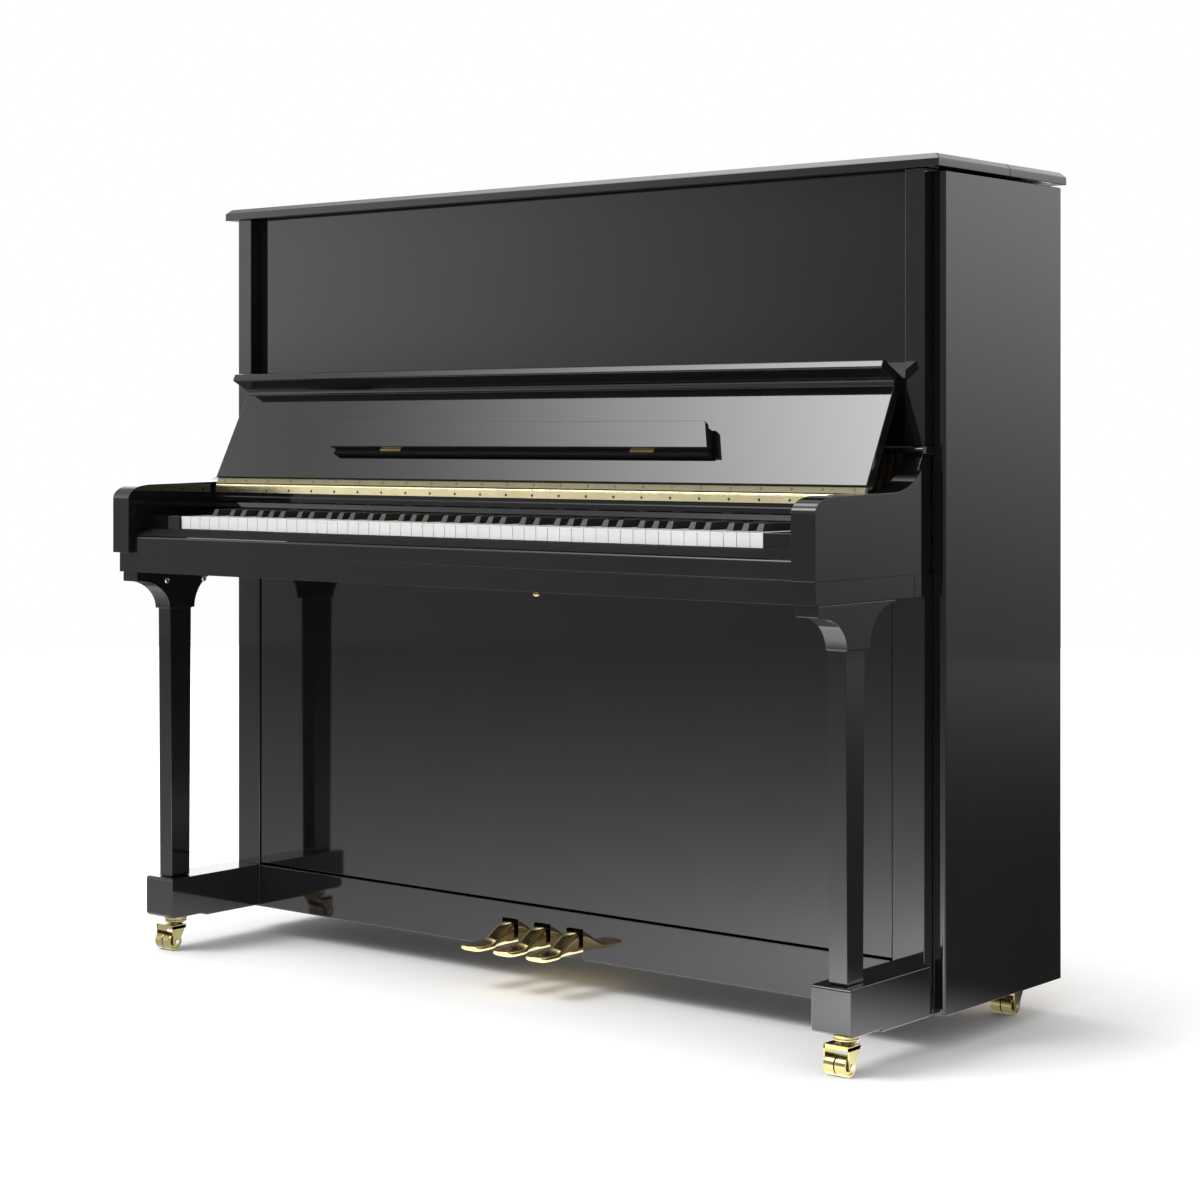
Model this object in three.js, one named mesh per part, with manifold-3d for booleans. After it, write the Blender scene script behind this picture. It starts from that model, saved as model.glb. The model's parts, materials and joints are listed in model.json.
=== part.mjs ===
// An upright piano in millimetres. +Z is up, the keyboard faces -Y and the bass is at -X.
// Inside this file depth is counted from the fronts of the white keys and height from the floor;
// the last lines shift the whole piano so that its origin is the middle of its footprint.
import * as THREE from "three";
import { mergeVertices } from "three/addons/utils/BufferGeometryUtils.js";
import Module from "manifold-3d";

const wasm = await Module();
wasm.setup();

// ---- driving dimensions -------------------------------------------------------------------
const gap = 0.3; // between pieces that touch

// keyboard
const whiteCount = 52;
const noteCount = 88;
const keyboardWide = 1225.1;
const keyBottom = 741; // lower edge of the white keys' fronts
const keyGap = 1;
const keyTall = 21;
const headLength = 50;
const blackWidth = 13.7;
const blackHigh = 11.5;
const blackEndY = 145;
const blackClear = 1;
const balanceY = 225;
const keyDip = 10;

// case
const endRoom = 137.45; // from the last key to the outside of the case
const sideThick = 21;
const sideFrontY = 262.7;
const sideDepth = 344;
const sideClear = 7; // side panels reach this far below the casters' plates
const sideTop = 1288;
const sideRound = 4.5;
const postWidth = 33.4; // upper corner posts
const postProud = 22.7; // how far posts and stiles stand in front of the sides
const stileWidth = 55; // lower corner stiles
const stileThick = 24;
const panelThick = 20;
const upperPanelProud = 1.7;
const lowerPanelSet = 2.5; // lower panel behind the stile fronts
const seam = 6; // open joint between lower panel and kick rail
const railTop = 127;
const bottomThick = 20;
const jointLine = 2; // dark line round the lower panel
const shelfAbove = 132; // shelf over the keys' lower edge
const shelfThick = 12;
const shelfNose = 10; // shelf in front of the posts

// lid
const lidEdge = 12;
const lidChamfer = 8;
const lidReveal = 4; // above the side panels
const lidSideOver = 7;
const lidFrontOver = 6; // in front of the posts
const lidRearOver = 5;
const lidFrontDepth = 204;
const lidPinRadius = 2.5;

// keybed, arms and key slip
const bedThick = 33;
const bedFrontY = -38.5;
const bedBelow = 42.4; // keybed's top under the keys' lower edge
const bedEndInset = 22; // keybed's ends from the outside of the case
const armOuterInset = 16;
const armWide = 41;
const armFrontY = -48.5;
const armAbove = 76; // arms' flat top over the keys' lower edge
const armStepY = 224;
const armStep = 7;
const armFrontRound = 42;
const slipFrontBelow = 14;
const slipThick = 35;

// fallboard
const pinY = 148.8;
const pinAbove = 71.5; // hinge pin over the keys' lower edge
const knuckle = 3;
const leafTall = 12;
const leafThick = 1.2;
const boardLean = 27; // degrees back from upright
const boardLength = 199;
const boardThick = 18;
const boardFace = 7; // face in front of the hinge pin
const boardEndClear = 5;
const lipThick = 15;
const lipProud = 43;

// music ledge on the fallboard
const ledgeMiddleX = -4;
const ledgeHalf = 402; // at its lower edge
const ledgeSlope = 14; // its ends lean in by this much
const ledgeRound = 7; // upper corners
const ledgeLow = 56;
const ledgeTall = 48;
const ledgeThick = 10;
const flapHalf = 403; // at its lower edge
const flapSlope = 19;
const flapRound = 4;
const flapLow = 64;
const flapTall = 46;
const flapThick = 10.5;
const flapClear = 1.2;

// legs and toes, sideways from the outside of the case
const legInset = 27.7;
const legWide = 31;
const legFrontY = 44;
const legDeepTop = 49;
const legDeepBottom = 42;
const bracketInset = 23;
const bracketWide = 37.2;
const bracketFrontY = -31.7;
const bracketRearY = 168;
const bracketLip = 16.7;
const bracketCove = 50;
const bracketStepFront = 3; // cove ends in front of the leg's face
const bracketStepRear = 7; // and behind its back
const bracketEnd = 4; // bracket's thickness at its rear tip
const toeInset = 10.5;
const toeWide = 67.1;
const toeFrontY = 31.4;
const toeTop = 127.8;
const toeStep = 4;
const toeStepY = 112;

// casters
const wheelRadius = 15;
const wheelWide = 18;
const wheelGap = 1.5; // between the two rollers of a caster
const axleRadius = 4;
const axleClear = 0.4;
const casterHead = 29; // from the top of the rollers to the wood
const casterTrail = -17; // rollers in front of the stem
const cheekThick = 2.4;
const cheekClear = 0.6;
const hoodLift = 7; // clear over the rollers
const hoodThick = 6.5;
const hoodFront = 8; // in front of the axle
const hoodDeep = 30;
const frontCasterY = 70;
const rearCasterInset = 50;
const plateRadius = 20;
const plateThick = 4;
const collarRadius = 12;

// pedals
const pedalCount = 3;
const pedalPitch = 69.5;
const pedalMiddleX = -4;
const neckWide = 26.5;
const pedalToeWide = 44;
const pedalReach = 102; // in front of the kick rail
const pedalBottom = 62;
const pedalToeThick = 9.5;
const neckHigh = 35;
const tailHigh = 22;
const tailLength = 112; // behind the front of the kick rail
const pedalSlot = 4; // clear round a pedal neck
const trapLift = 4; // clear between a pedal's tail and its trap lever

// sounding parts and action, from the back forwards
const backPostDeep = 81.7;
const backPostWide = 78;
const backPostCount = 5;
const beamTall = 92;
const ribDeep = 16;
const ribCount = 7;
const ribClear = 8;
const soundboardThick = 9;
const plateDeep = 14;
const plateClear = 16;
const stringSize = 1.6;
const stringClear = 10;
const stringEvery = 4; // notes from one string run to the next
const keyRearClear = 57; // keys' rear ends in front of the strings
const hammerReach = 107; // hammer pivots in front of the strings
const hammerAbove = 56;
const damperReach = 21;
const damperAbove = 71;

// ---- worked out from those ----------------------------------------------------------------
const whitePitch = keyboardWide / whiteCount;
const keysHalf = keyboardWide / 2;
const notePitch = keyboardWide / noteCount;
const caseHalf = keysHalf + endRoom;
const sideInner = caseHalf - sideThick;
const sideRearY = sideFrontY + sideDepth;
const frontPlaneY = sideFrontY - postProud;
const panelFrontY = sideFrontY - upperPanelProud;
const lidBottom = sideTop + lidReveal;
const lidTop = lidBottom + lidEdge + lidChamfer;
const lidHalf = caseHalf + lidSideOver;
const lidFrontY = frontPlaneY - lidFrontOver;
const lidRearY = sideRearY + lidRearOver;
const lidSeamY = lidFrontY + lidFrontDepth;
const lidPinZ = lidTop + lidPinRadius + gap;
const toeBottom = 2 * wheelRadius + casterHead;
const sideBottom = toeBottom - sideClear;
const keyTop = keyBottom + keyTall;
const blackTop = keyTop + blackHigh;
const bedTop = keyBottom - bedBelow;
const bedBottom = bedTop - bedThick;
const armOuter = caseHalf - armOuterInset;
const armInner = armOuter - armWide;
const armTop = keyBottom + armAbove;
const pinZ = keyBottom + pinAbove;
const boardHalf = armInner - boardEndClear;
const shelfBottom = keyBottom + shelfAbove;
const shelfTop = shelfBottom + shelfThick;
const backFrontY = sideRearY - backPostDeep;
const soundboardY = backFrontY - ribClear - ribDeep - soundboardThick;
const plateY = soundboardY - plateClear - plateDeep;
const stringY = plateY - stringClear;
const keyLength = stringY - keyRearClear;
const bedRearY = keyLength + 7;
const hammerPivotY = stringY - hammerReach;
const hammerPivotZ = keyBottom + hammerAbove;
const damperPivotY = stringY - damperReach;
const damperPivotZ = keyBottom + damperAbove;
const pedalTailY = frontPlaneY + tailLength;
const overall = { front: Math.min(armFrontY, lidFrontY), rear: lidRearY };

// ---- solids -------------------------------------------------------------------------------
function solid(geometry) {
  const bare = geometry.index ? geometry.toNonIndexed() : geometry.clone();
  bare.deleteAttribute("normal");
  bare.deleteAttribute("uv");
  const merged = mergeVertices(bare, 1e-4);
  return new wasm.Manifold(
    new wasm.Mesh({
      numProp: 3,
      vertProperties: new Float32Array(merged.attributes.position.array),
      triVerts: new Uint32Array(merged.index.array),
    }),
  );
}

function join(parts) {
  return parts.reduce((whole, part) => whole.add(part));
}

function block(x0, x1, y0, y1, z0, z1) {
  const box = new THREE.BoxGeometry(x1 - x0, y1 - y0, z1 - z0);
  box.translate((x0 + x1) / 2, (y0 + y1) / 2, (z0 + z1) / 2);
  return solid(box);
}

function outline(points) {
  if (!Array.isArray(points)) return points;
  return new THREE.Shape(points.map(([u, v]) => new THREE.Vector2(u, v)));
}

function slab(points, depth, curveSegments = 5) {
  return new THREE.ExtrudeGeometry(outline(points), { depth, bevelEnabled: false, curveSegments });
}

const alongX = new THREE.Matrix4().makeBasis(
  new THREE.Vector3(0, 1, 0),
  new THREE.Vector3(0, 0, 1),
  new THREE.Vector3(1, 0, 0),
);

// An outline of (y, z) points drawn out from x0 to x1.
function barX(points, x0, x1, curveSegments) {
  const bar = slab(points, x1 - x0, curveSegments).applyMatrix4(alongX);
  return solid(bar.translate(x0, 0, 0));
}

const alongY = new THREE.Matrix4().makeBasis(
  new THREE.Vector3(1, 0, 0),
  new THREE.Vector3(0, 0, 1),
  new THREE.Vector3(0, -1, 0),
);

// An outline of (x, z) points drawn out from y0 to y1.
function barY(points, y0, y1, curveSegments) {
  const bar = slab(points, y1 - y0, curveSegments).applyMatrix4(alongY);
  return solid(bar.translate(0, y1, 0));
}

// An outline of (x, y) points drawn out from z0 to z1.
function barZ(points, z0, z1, curveSegments) {
  return solid(slab(points, z1 - z0, curveSegments).translate(0, 0, z0));
}

function rodX(radius, x0, x1, y, z, sides = 12) {
  const rod = new THREE.CylinderGeometry(radius, radius, x1 - x0, sides);
  rod.rotateZ(Math.PI / 2);
  return solid(rod.translate((x0 + x1) / 2, y, z));
}

function rodZ(radius, x, y, z0, z1, sides = 14) {
  const rod = new THREE.CylinderGeometry(radius, radius, z1 - z0, sides);
  rod.rotateX(Math.PI / 2);
  return solid(rod.translate(x, y, (z0 + z1) / 2));
}

function mirrored(part) {
  return part.mirror([1, 0, 0]);
}

// ---- materials ----------------------------------------------------------------------------
function finish(color, roughness, metalness) {
  return new THREE.MeshStandardMaterial({ color, roughness, metalness });
}

const lacquer = finish(0x0b0b0d, 0.08, 0);
const brass = finish(0xd8b45a, 0.18, 1);
const ivory = finish(0xf2f0ea, 0.25, 0);
const spruce = finish(0xd2aa6c, 0.5, 0);
const beech = finish(0xb98a58, 0.55, 0);
const gilt = finish(0xb58a3c, 0.45, 0.6);
const steel = finish(0xb8bcc0, 0.3, 1);
const felt = finish(0xe8e4da, 0.9, 0);

const piano = new THREE.Group();

function add(name, part, material) {
  const data = part.getMesh();
  const geometry = new THREE.BufferGeometry();
  geometry.setAttribute("position", new THREE.BufferAttribute(data.vertProperties, 3));
  geometry.setIndex(new THREE.BufferAttribute(data.triVerts, 1));
  geometry.computeVertexNormals();
  const mesh = new THREE.Mesh(geometry, material);
  mesh.name = name;
  piano.add(mesh);
}

// A right-hand piece and its mirror image on the left.
function addPair(name, part, material) {
  add(name + "_right", part, material);
  add(name + "_left", mirrored(part), material);
}

// ---- case ---------------------------------------------------------------------------------
function sidePanel() {
  const shape = new THREE.Shape();
  shape.moveTo(sideInner, sideFrontY);
  shape.lineTo(caseHalf - sideRound, sideFrontY);
  shape.absarc(caseHalf - sideRound, sideFrontY + sideRound, sideRound, -Math.PI / 2, 0);
  shape.lineTo(caseHalf, sideRearY);
  shape.lineTo(sideInner, sideRearY);
  return barZ(shape, sideBottom, sideTop);
}

function upperPost() {
  const inner = sideInner - postWidth;
  const outer = sideInner - gap;
  return block(inner, outer, frontPlaneY, panelFrontY + panelThick, shelfTop + gap, lidBottom - gap);
}

function lowerStile() {
  const inner = sideInner - gap - stileWidth;
  const rear = frontPlaneY + stileThick;
  return block(inner, sideInner - gap, frontPlaneY, rear, sideBottom, bedBottom - gap);
}

function upperPanel() {
  const half = sideInner - postWidth - gap;
  const rear = panelFrontY + panelThick;
  return block(-half, half, panelFrontY, rear, shelfTop + gap, lidBottom - gap);
}

function lowerPanel() {
  const half = sideInner - gap - stileWidth - jointLine;
  const front = frontPlaneY + lowerPanelSet;
  return block(-half, half, front, front + panelThick, railTop + seam, bedBottom - jointLine);
}

function pedalX(index) {
  return pedalMiddleX + (index - (pedalCount - 1) / 2) * pedalPitch;
}

function kickRail() {
  const half = sideInner - 2 * gap - stileWidth;
  const whole = block(-half, half, frontPlaneY, frontPlaneY + stileThick, sideBottom, railTop);
  const notchHalf = neckWide / 2 + pedalSlot;
  const notchTop = pedalBottom + neckHigh + pedalSlot;
  const slots = [];
  for (let i = 0; i < pedalCount; i += 1) {
    const x = pedalX(i);
    const rear = frontPlaneY + stileThick + 1;
    slots.push(block(x - notchHalf, x + notchHalf, frontPlaneY - 1, rear, sideBottom - 1, notchTop));
  }
  return whole.subtract(join(slots));
}

function bottomBoard() {
  const half = sideInner - gap;
  const front = frontPlaneY + stileThick + gap;
  const top = toeBottom + bottomThick;
  const board = block(-half, half, front, backFrontY - gap, toeBottom, top);
  const slotHalf = neckWide / 2 + pedalSlot;
  const slots = [];
  for (let i = 0; i < pedalCount; i += 1) {
    const x = pedalX(i);
    const rear = pedalTailY + 2 * pedalSlot;
    slots.push(block(x - slotHalf, x + slotHalf, front - 1, rear, toeBottom - 1, top + 1));
  }
  return board.subtract(join(slots));
}

function topShelf() {
  const half = armOuter - 1;
  const front = frontPlaneY - shelfNose;
  const nose = shelfThick / 2;
  const shape = new THREE.Shape();
  shape.moveTo(panelFrontY + panelThick, shelfBottom);
  shape.lineTo(panelFrontY + panelThick, shelfTop);
  shape.lineTo(front + nose, shelfTop);
  shape.absarc(front + nose, shelfBottom + nose, nose, Math.PI / 2, (3 * Math.PI) / 2);
  const whole = barX(shape, -half, half, 6);
  const sideRoom = block(sideInner - gap, half + 1, sideFrontY - gap, 400, shelfBottom - 1, shelfTop + 1);
  return whole.subtract(sideRoom).subtract(mirrored(sideRoom));
}

// ---- lid ----------------------------------------------------------------------------------
function lidBoard(y0, y1, chamferFront, chamferRear) {
  const band = lidBottom + lidEdge;
  const lengthwise = barX(
    [
      [y0, lidBottom],
      [y1, lidBottom],
      [y1, chamferRear ? band : lidTop],
      [y1 - (chamferRear ? lidChamfer : 0.01), lidTop],
      [y0 + (chamferFront ? lidChamfer : 0.01), lidTop],
      [y0, chamferFront ? band : lidTop],
    ],
    -lidHalf,
    lidHalf,
  );
  const across = barY(
    [
      [-lidHalf, lidBottom - 1],
      [lidHalf, lidBottom - 1],
      [lidHalf, band],
      [lidHalf - lidChamfer, lidTop],
      [lidHalf - lidChamfer, lidTop + 1],
      [-lidHalf + lidChamfer, lidTop + 1],
      [-lidHalf + lidChamfer, lidTop],
      [-lidHalf, band],
    ],
    y0 - 1,
    y1 + 1,
  );
  return lengthwise.intersect(across);
}

function lidHinge() {
  const half = lidHalf - lidChamfer - 20;
  const leaf = block(-half, half, lidSeamY + 1, lidSeamY + 14, lidTop + gap, lidTop + gap + 1.2);
  return leaf.add(rodX(lidPinRadius, -half, half, lidSeamY, lidPinZ, 10));
}

// ---- keybed, slip, blocks and arms --------------------------------------------------------
const trapPitch = 15;
const trapHole = {
  x0: -armInner + 3,
  x1: -armInner + 3 + 54,
  y0: pedalTailY - 34,
  y1: pedalTailY + 40,
};


function keybed() {
  const frontHalf = caseHalf - bedEndInset;
  const front = block(-frontHalf, frontHalf, bedFrontY, frontPlaneY - 24, bedBottom, bedTop);
  const rear = block(-sideInner + gap, sideInner - gap, frontPlaneY - 25, bedRearY, bedBottom, bedTop);
  const room = block(trapHole.x0, trapHole.x1, trapHole.y0, trapHole.y1, bedBottom - 1, bedTop + 1);
  return front.add(rear).subtract(room);
}

function keySlip() {
  const rear = bedFrontY + slipThick;
  const half = armInner - gap;
  const frontHigh = keyBottom - slipFrontBelow;
  return barX(
    [
      [bedFrontY, bedTop + gap],
      [rear, bedTop + gap],
      [rear, keyBottom - 0.5],
      [bedFrontY + 1.5, frontHigh],
      [bedFrontY, frontHigh - 1.5],
    ],
    -half,
    half,
  );
}

function keyBlock() {
  const front = bedFrontY + slipThick + gap;
  const rear = pinY - knuckle - 2;
  return block(keysHalf + 1, armInner - gap, front, rear, bedTop + gap, keyTop + 1);
}

function arm() {
  const low = bedTop + gap;
  const rearTop = shelfBottom - gap;
  const rear = sideFrontY - gap;
  const shape = new THREE.Shape();
  shape.moveTo(armFrontY, low);
  shape.lineTo(rear, low);
  shape.lineTo(rear, rearTop);
  shape.lineTo(frontPlaneY - 2, rearTop);
  shape.bezierCurveTo(frontPlaneY - 14, armTop + 28, frontPlaneY - 40, armTop + 6, frontPlaneY - 84, armTop + 2);
  shape.lineTo(armFrontY + 48, armTop - 1);
  shape.bezierCurveTo(armFrontY + 18, armTop - 2, armFrontY, armTop - 12, armFrontY, armTop - armFrontRound / 1.7);
  const whole = barX(shape, armInner, armOuter, 16);
  const step = block(armOuter - armStep, armOuter + 1, armStepY, rear + 1, low - 1, rearTop + 1);
  return whole.subtract(step);
}

// The rail behind the keys that carries the fallboard's hinge.
function hingeRail() {
  const face = pinY - knuckle + leafThick + gap;
  const half = armInner - gap;
  const nosingTop = pinZ - leafTall - 6.5;
  const shape = new THREE.Shape();
  shape.moveTo(face - 3.4, blackTop + 1);
  shape.lineTo(face + 40, blackTop + 1);
  shape.lineTo(face + 40, pinZ - 6);
  shape.lineTo(face, pinZ - 4);
  shape.lineTo(face, nosingTop);
  shape.lineTo(face - 2, nosingTop);
  shape.lineTo(face - 3, nosingTop - 1);
  shape.lineTo(face - 3, nosingTop - 9);
  shape.lineTo(face - 2, nosingTop - 10);
  shape.lineTo(face, nosingTop - 10);
  return barX(shape, -half, half);
}

// ---- fallboard ----------------------------------------------------------------------------
const lean = (boardLean * Math.PI) / 180;
const boardUp = new THREE.Vector3(0, Math.sin(lean), Math.cos(lean));
const boardOut = new THREE.Vector3(0, -Math.cos(lean), Math.sin(lean));

// A point that is a along the open board from its hinge pin and n in front of the pin.
function onBoard(a, n) {
  return [pinY + a * Math.sin(lean) - n * Math.cos(lean), pinZ + a * Math.cos(lean) + n * Math.sin(lean)];
}

function fallboard() {
  const back = boardFace - boardThick;
  const lipFoot = boardLength - lipThick;
  const outlinePoints = [
    [4, back],
    [boardLength - 3, back],
    [boardLength, back + 3],
    [boardLength, boardFace + lipProud - 3],
    [boardLength - 3, boardFace + lipProud],
    [lipFoot + 2, boardFace + lipProud],
    [lipFoot, boardFace + lipProud - 2],
    [lipFoot, boardFace + 6],
    [lipFoot - 3, boardFace + 3],
    [lipFoot - 7, boardFace + 2],
    [lipFoot - 7.5, boardFace],
    [leafTall + 2, boardFace],
    [leafTall + 2, knuckle - leafThick - gap],
    [4, knuckle - leafThick - gap],
  ].map(([a, n]) => onBoard(a, n));
  return barX(outlinePoints.reverse(), -boardHalf, boardHalf);
}

function hingeFixedLeaf() {
  const half = boardHalf - 2;
  const front = pinY - knuckle;
  const leaf = block(-half, half, front, front + leafThick, pinZ - leafTall, pinZ);
  return leaf.add(rodX(knuckle - 0.2, -half, half, pinY, pinZ, 10));
}

function hingeMovingLeaf() {
  const half = boardHalf - 2;
  const low = knuckle + gap;
  const points = [
    [low, knuckle - leafThick],
    [leafTall + 1.5, knuckle - leafThick],
    [leafTall + 1.5, knuckle],
    [low, knuckle],
  ].map(([a, n]) => onBoard(a, n));
  return barX(points.reverse(), -half, half);
}

// A board lying on the fallboard's face, n0 to n1 in front of the pin. It is wider at its lower
// edge, and its upper corners are rounded.
function boardOnFace(low, high, halfLow, slope, round, n0, n1) {
  const halfHigh = halfLow - slope;
  const inward = slope / (high - low);
  const shape = new THREE.Shape();
  shape.moveTo(-halfLow, low);
  shape.lineTo(halfLow, low);
  shape.lineTo(halfHigh + inward * round, high - round);
  shape.quadraticCurveTo(halfHigh, high, halfHigh - round, high);
  shape.lineTo(-halfHigh + round, high);
  shape.quadraticCurveTo(-halfHigh, high, -halfHigh - inward * round, high - round);
  const flat = slab(shape, n1 - n0, 4);
  flat.translate(0, 0, n0);
  flat.applyMatrix4(new THREE.Matrix4().makeBasis(new THREE.Vector3(1, 0, 0), boardUp, boardOut));
  return solid(flat.translate(ledgeMiddleX, pinY, pinZ));
}

function musicLedge() {
  const back = boardFace + gap;
  const front = back + ledgeThick;
  return boardOnFace(ledgeLow, ledgeLow + ledgeTall, ledgeHalf, ledgeSlope, ledgeRound, back, front);
}

function musicFlap() {
  const back = boardFace + gap + ledgeThick + flapClear;
  const front = back + flapThick;
  return boardOnFace(flapLow, flapLow + flapTall, flapHalf, flapSlope, flapRound, back, front);
}

// ---- legs and toe blocks ------------------------------------------------------------------
function leg() {
  const top = bedBottom - gap;
  const lipLow = top - bracketLip;
  const coveLow = lipLow - bracketCove;
  const foot = toeTop + gap;
  const shape = new THREE.Shape();
  shape.moveTo(bracketFrontY, top);
  shape.lineTo(bracketFrontY, lipLow);
  shape.lineTo(bracketFrontY + 4, lipLow);
  const coveFront = legFrontY - bracketStepFront;
  const coveRear = legFrontY + legDeepTop + bracketStepRear;
  const frontReach = coveFront - bracketFrontY - 4;
  shape.absellipse(bracketFrontY + 4, coveLow, frontReach, bracketCove, Math.PI / 2, 0, true);
  const bracketBar = shape.clone();
  bracketBar.lineTo(coveRear, coveLow);
  const rearRise = top - bracketEnd - coveLow;
  const rearReach = bracketRearY - coveRear;
  bracketBar.absellipse(bracketRearY, coveLow, rearReach, rearRise, Math.PI, Math.PI / 2, true);
  bracketBar.lineTo(bracketRearY, top);
  const bracketOuter = caseHalf - bracketInset;
  const bracket = barX(bracketBar, bracketOuter - bracketWide, bracketOuter, 8);
  const taper = (legDeepTop - legDeepBottom) / 2;
  const post = barX(
    [
      [legFrontY + taper, foot],
      [legFrontY + legDeepTop - taper, foot],
      [legFrontY + legDeepTop, coveLow + 1],
      [legFrontY, coveLow + 1],
    ],
    caseHalf - legInset - legWide,
    caseHalf - legInset,
  );
  return bracket.add(post);
}

function toeBlock() {
  const rear = frontPlaneY - gap;
  return barX(
    [
      [toeFrontY, toeBottom + 5],
      [toeFrontY + 5, toeBottom],
      [toeStepY, toeBottom],
      [toeStepY, toeBottom - toeStep],
      [rear, toeBottom - toeStep],
      [rear, toeTop],
      [toeFrontY + 3, toeTop],
      [toeFrontY, toeTop - 3],
    ],
    caseHalf - toeInset - toeWide,
    caseHalf - toeInset,
  );
}

// ---- casters ------------------------------------------------------------------------------
const hoodBottom = 2 * wheelRadius + hoodLift;
const cheekInner = wheelGap / 2 + wheelWide + cheekClear;
const cheekOuter = cheekInner + cheekThick;

// A swivel fork with its stem at (x, y): a flange on a neck, and a hood with a cheek at each side.
function casterFork(x, y) {
  const top = toeBottom - gap;
  const axleY = y + casterTrail;
  const hoodTop = hoodBottom + hoodThick;
  const front = axleY - hoodFront;
  const flange = rodZ(plateRadius, x, y, top - plateThick, top, 20);
  const neck = rodZ(collarRadius, x, y, hoodTop - 1, top - 1);
  const hood = block(x - cheekOuter, x + cheekOuter, front, front + hoodDeep, hoodBottom, hoodTop);
  const cheekShape = [
    [front, hoodTop - 1],
    [front, wheelRadius - 2],
    [axleY - axleRadius, wheelRadius - hoodFront],
    [axleY + axleRadius, wheelRadius - hoodFront],
    [axleY + hoodFront, wheelRadius - 2],
    [axleY + hoodFront + 3, wheelRadius + 9],
    [front + hoodDeep, hoodTop - 1],
  ];
  const cheeks = barX(cheekShape, x - cheekOuter, x - cheekInner).add(
    barX(cheekShape, x + cheekInner, x + cheekOuter),
  );
  const bore = rodX(axleRadius + axleClear, x - cheekOuter - 1, x + cheekOuter + 1, axleY, wheelRadius, 16);
  return join([flange, neck, hood, cheeks]).subtract(bore);
}

function casterWheels(x, y) {
  const axleY = y + casterTrail;
  const inner = wheelGap / 2;
  const crown = 1.2;
  const profile = [
    [0, 0],
    [wheelRadius - crown, 0],
    [wheelRadius, crown],
    [wheelRadius, wheelWide - crown],
    [wheelRadius - crown, wheelWide],
    [0, wheelWide],
  ].map((p) => new THREE.Vector2(p[0], p[1]));
  const wheel = new THREE.LatheGeometry(profile, 20);
  wheel.rotateZ(-Math.PI / 2);
  const right = solid(wheel.clone().translate(x + inner, axleY, wheelRadius));
  const left = solid(wheel.clone().translate(x - inner - wheelWide, axleY, wheelRadius));
  const axle = rodX(axleRadius, x - cheekOuter - 1.5, x + cheekOuter + 1.5, axleY, wheelRadius, 12);
  return join([right, left, axle]);
}

// ---- pedals and trapwork ------------------------------------------------------------------
function pedal(index) {
  const x = pedalX(index);
  const toeY = frontPlaneY - pedalReach;
  const toeHigh = pedalBottom + pedalToeThick;
  const neckTop = pedalBottom + neckHigh;
  const side = new THREE.Shape();
  side.moveTo(toeY, pedalBottom + 3);
  side.lineTo(toeY + 5, pedalBottom);
  side.lineTo(pedalTailY, pedalBottom);
  side.lineTo(pedalTailY, pedalBottom + tailHigh);
  side.lineTo(frontPlaneY - 3, neckTop);
  side.lineTo(frontPlaneY - 12, neckTop);
  side.bezierCurveTo(frontPlaneY - 26, neckTop - 8, frontPlaneY - 30, toeHigh + 3, frontPlaneY - 55, toeHigh);
  side.lineTo(toeY + 6, toeHigh);
  side.quadraticCurveTo(toeY, toeHigh, toeY, toeHigh - 4);
  const web = barX(side, x - pedalToeWide / 2, x + pedalToeWide / 2, 6);
  const plan = new THREE.Shape();
  const half = pedalToeWide / 2;
  plan.moveTo(x - half + 8, toeY - 0.5);
  plan.lineTo(x + half - 8, toeY - 0.5);
  plan.quadraticCurveTo(x + half, toeY, x + half, toeY + 9);
  plan.lineTo(x + half, toeY + 34);
  plan.quadraticCurveTo(x + half - 1, toeY + 48, x + neckWide / 2, toeY + 56);
  plan.lineTo(x + neckWide / 2, pedalTailY + 1);
  plan.lineTo(x - neckWide / 2, pedalTailY + 1);
  plan.lineTo(x - neckWide / 2, toeY + 56);
  plan.quadraticCurveTo(x - half + 1, toeY + 48, x - half, toeY + 34);
  plan.lineTo(x - half, toeY + 9);
  plan.quadraticCurveTo(x - half, toeY, x - half + 8, toeY - 0.5);
  return web.intersect(barZ(plan, 0, 300, 4));
}

// A trap lever runs from a pedal's tail to the bass end and carries its dowel up to the action.
function trapRod(index) {
  const x = pedalX(index);
  const row = pedalTailY - 8 + (index - 1) * 16;
  const dowelX = trapHole.x0 + 12 + index * trapPitch;
  const low = pedalBottom + tailHigh + trapLift;
  const foot = block(x - 6, x + 6, pedalTailY - 30, row + 5, low, low + 12);
  const lever = block(dowelX - 6, x + 6, row - 5, row + 5, low + 8, low + 26);
  const dowel = rodZ(5, dowelX, row, low + 20, hammerPivotZ - 22, 8);
  return join([foot, lever, dowel]);
}

// ---- frame, soundboard, plate and strings -------------------------------------------------
function backFrame() {
  const half = sideInner - gap;
  const rear = sideRearY;
  const parts = [
    block(-half, half, backFrontY, rear, sideTop - beamTall, sideTop),
    block(-half, half, backFrontY, rear, toeBottom, toeBottom + beamTall),
  ];
  for (let i = 0; i < backPostCount; i += 1) {
    const x = -half + backPostWide / 2 + (i * (2 * half - backPostWide)) / (backPostCount - 1);
    const wide = backPostWide / 2;
    parts.push(block(x - wide, x + wide, backFrontY, rear - 4, toeBottom + 10, sideTop - 10));
  }
  return join(parts);
}

function soundboard() {
  const half = sideInner - 12;
  const low = toeBottom + 60;
  const high = sideTop - beamTall - 6;
  const rear = soundboardY + soundboardThick;
  const parts = [block(-half, half, soundboardY, rear, low, high)];
  const step = (high - low) / (ribCount + 1);
  for (let i = 1; i <= ribCount; i += 1) {
    const z = low + i * step;
    parts.push(block(-half + 20, half - 20, rear - 1, rear + ribDeep, z - 11, z + 11));
  }
  return join(parts);
}

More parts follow.
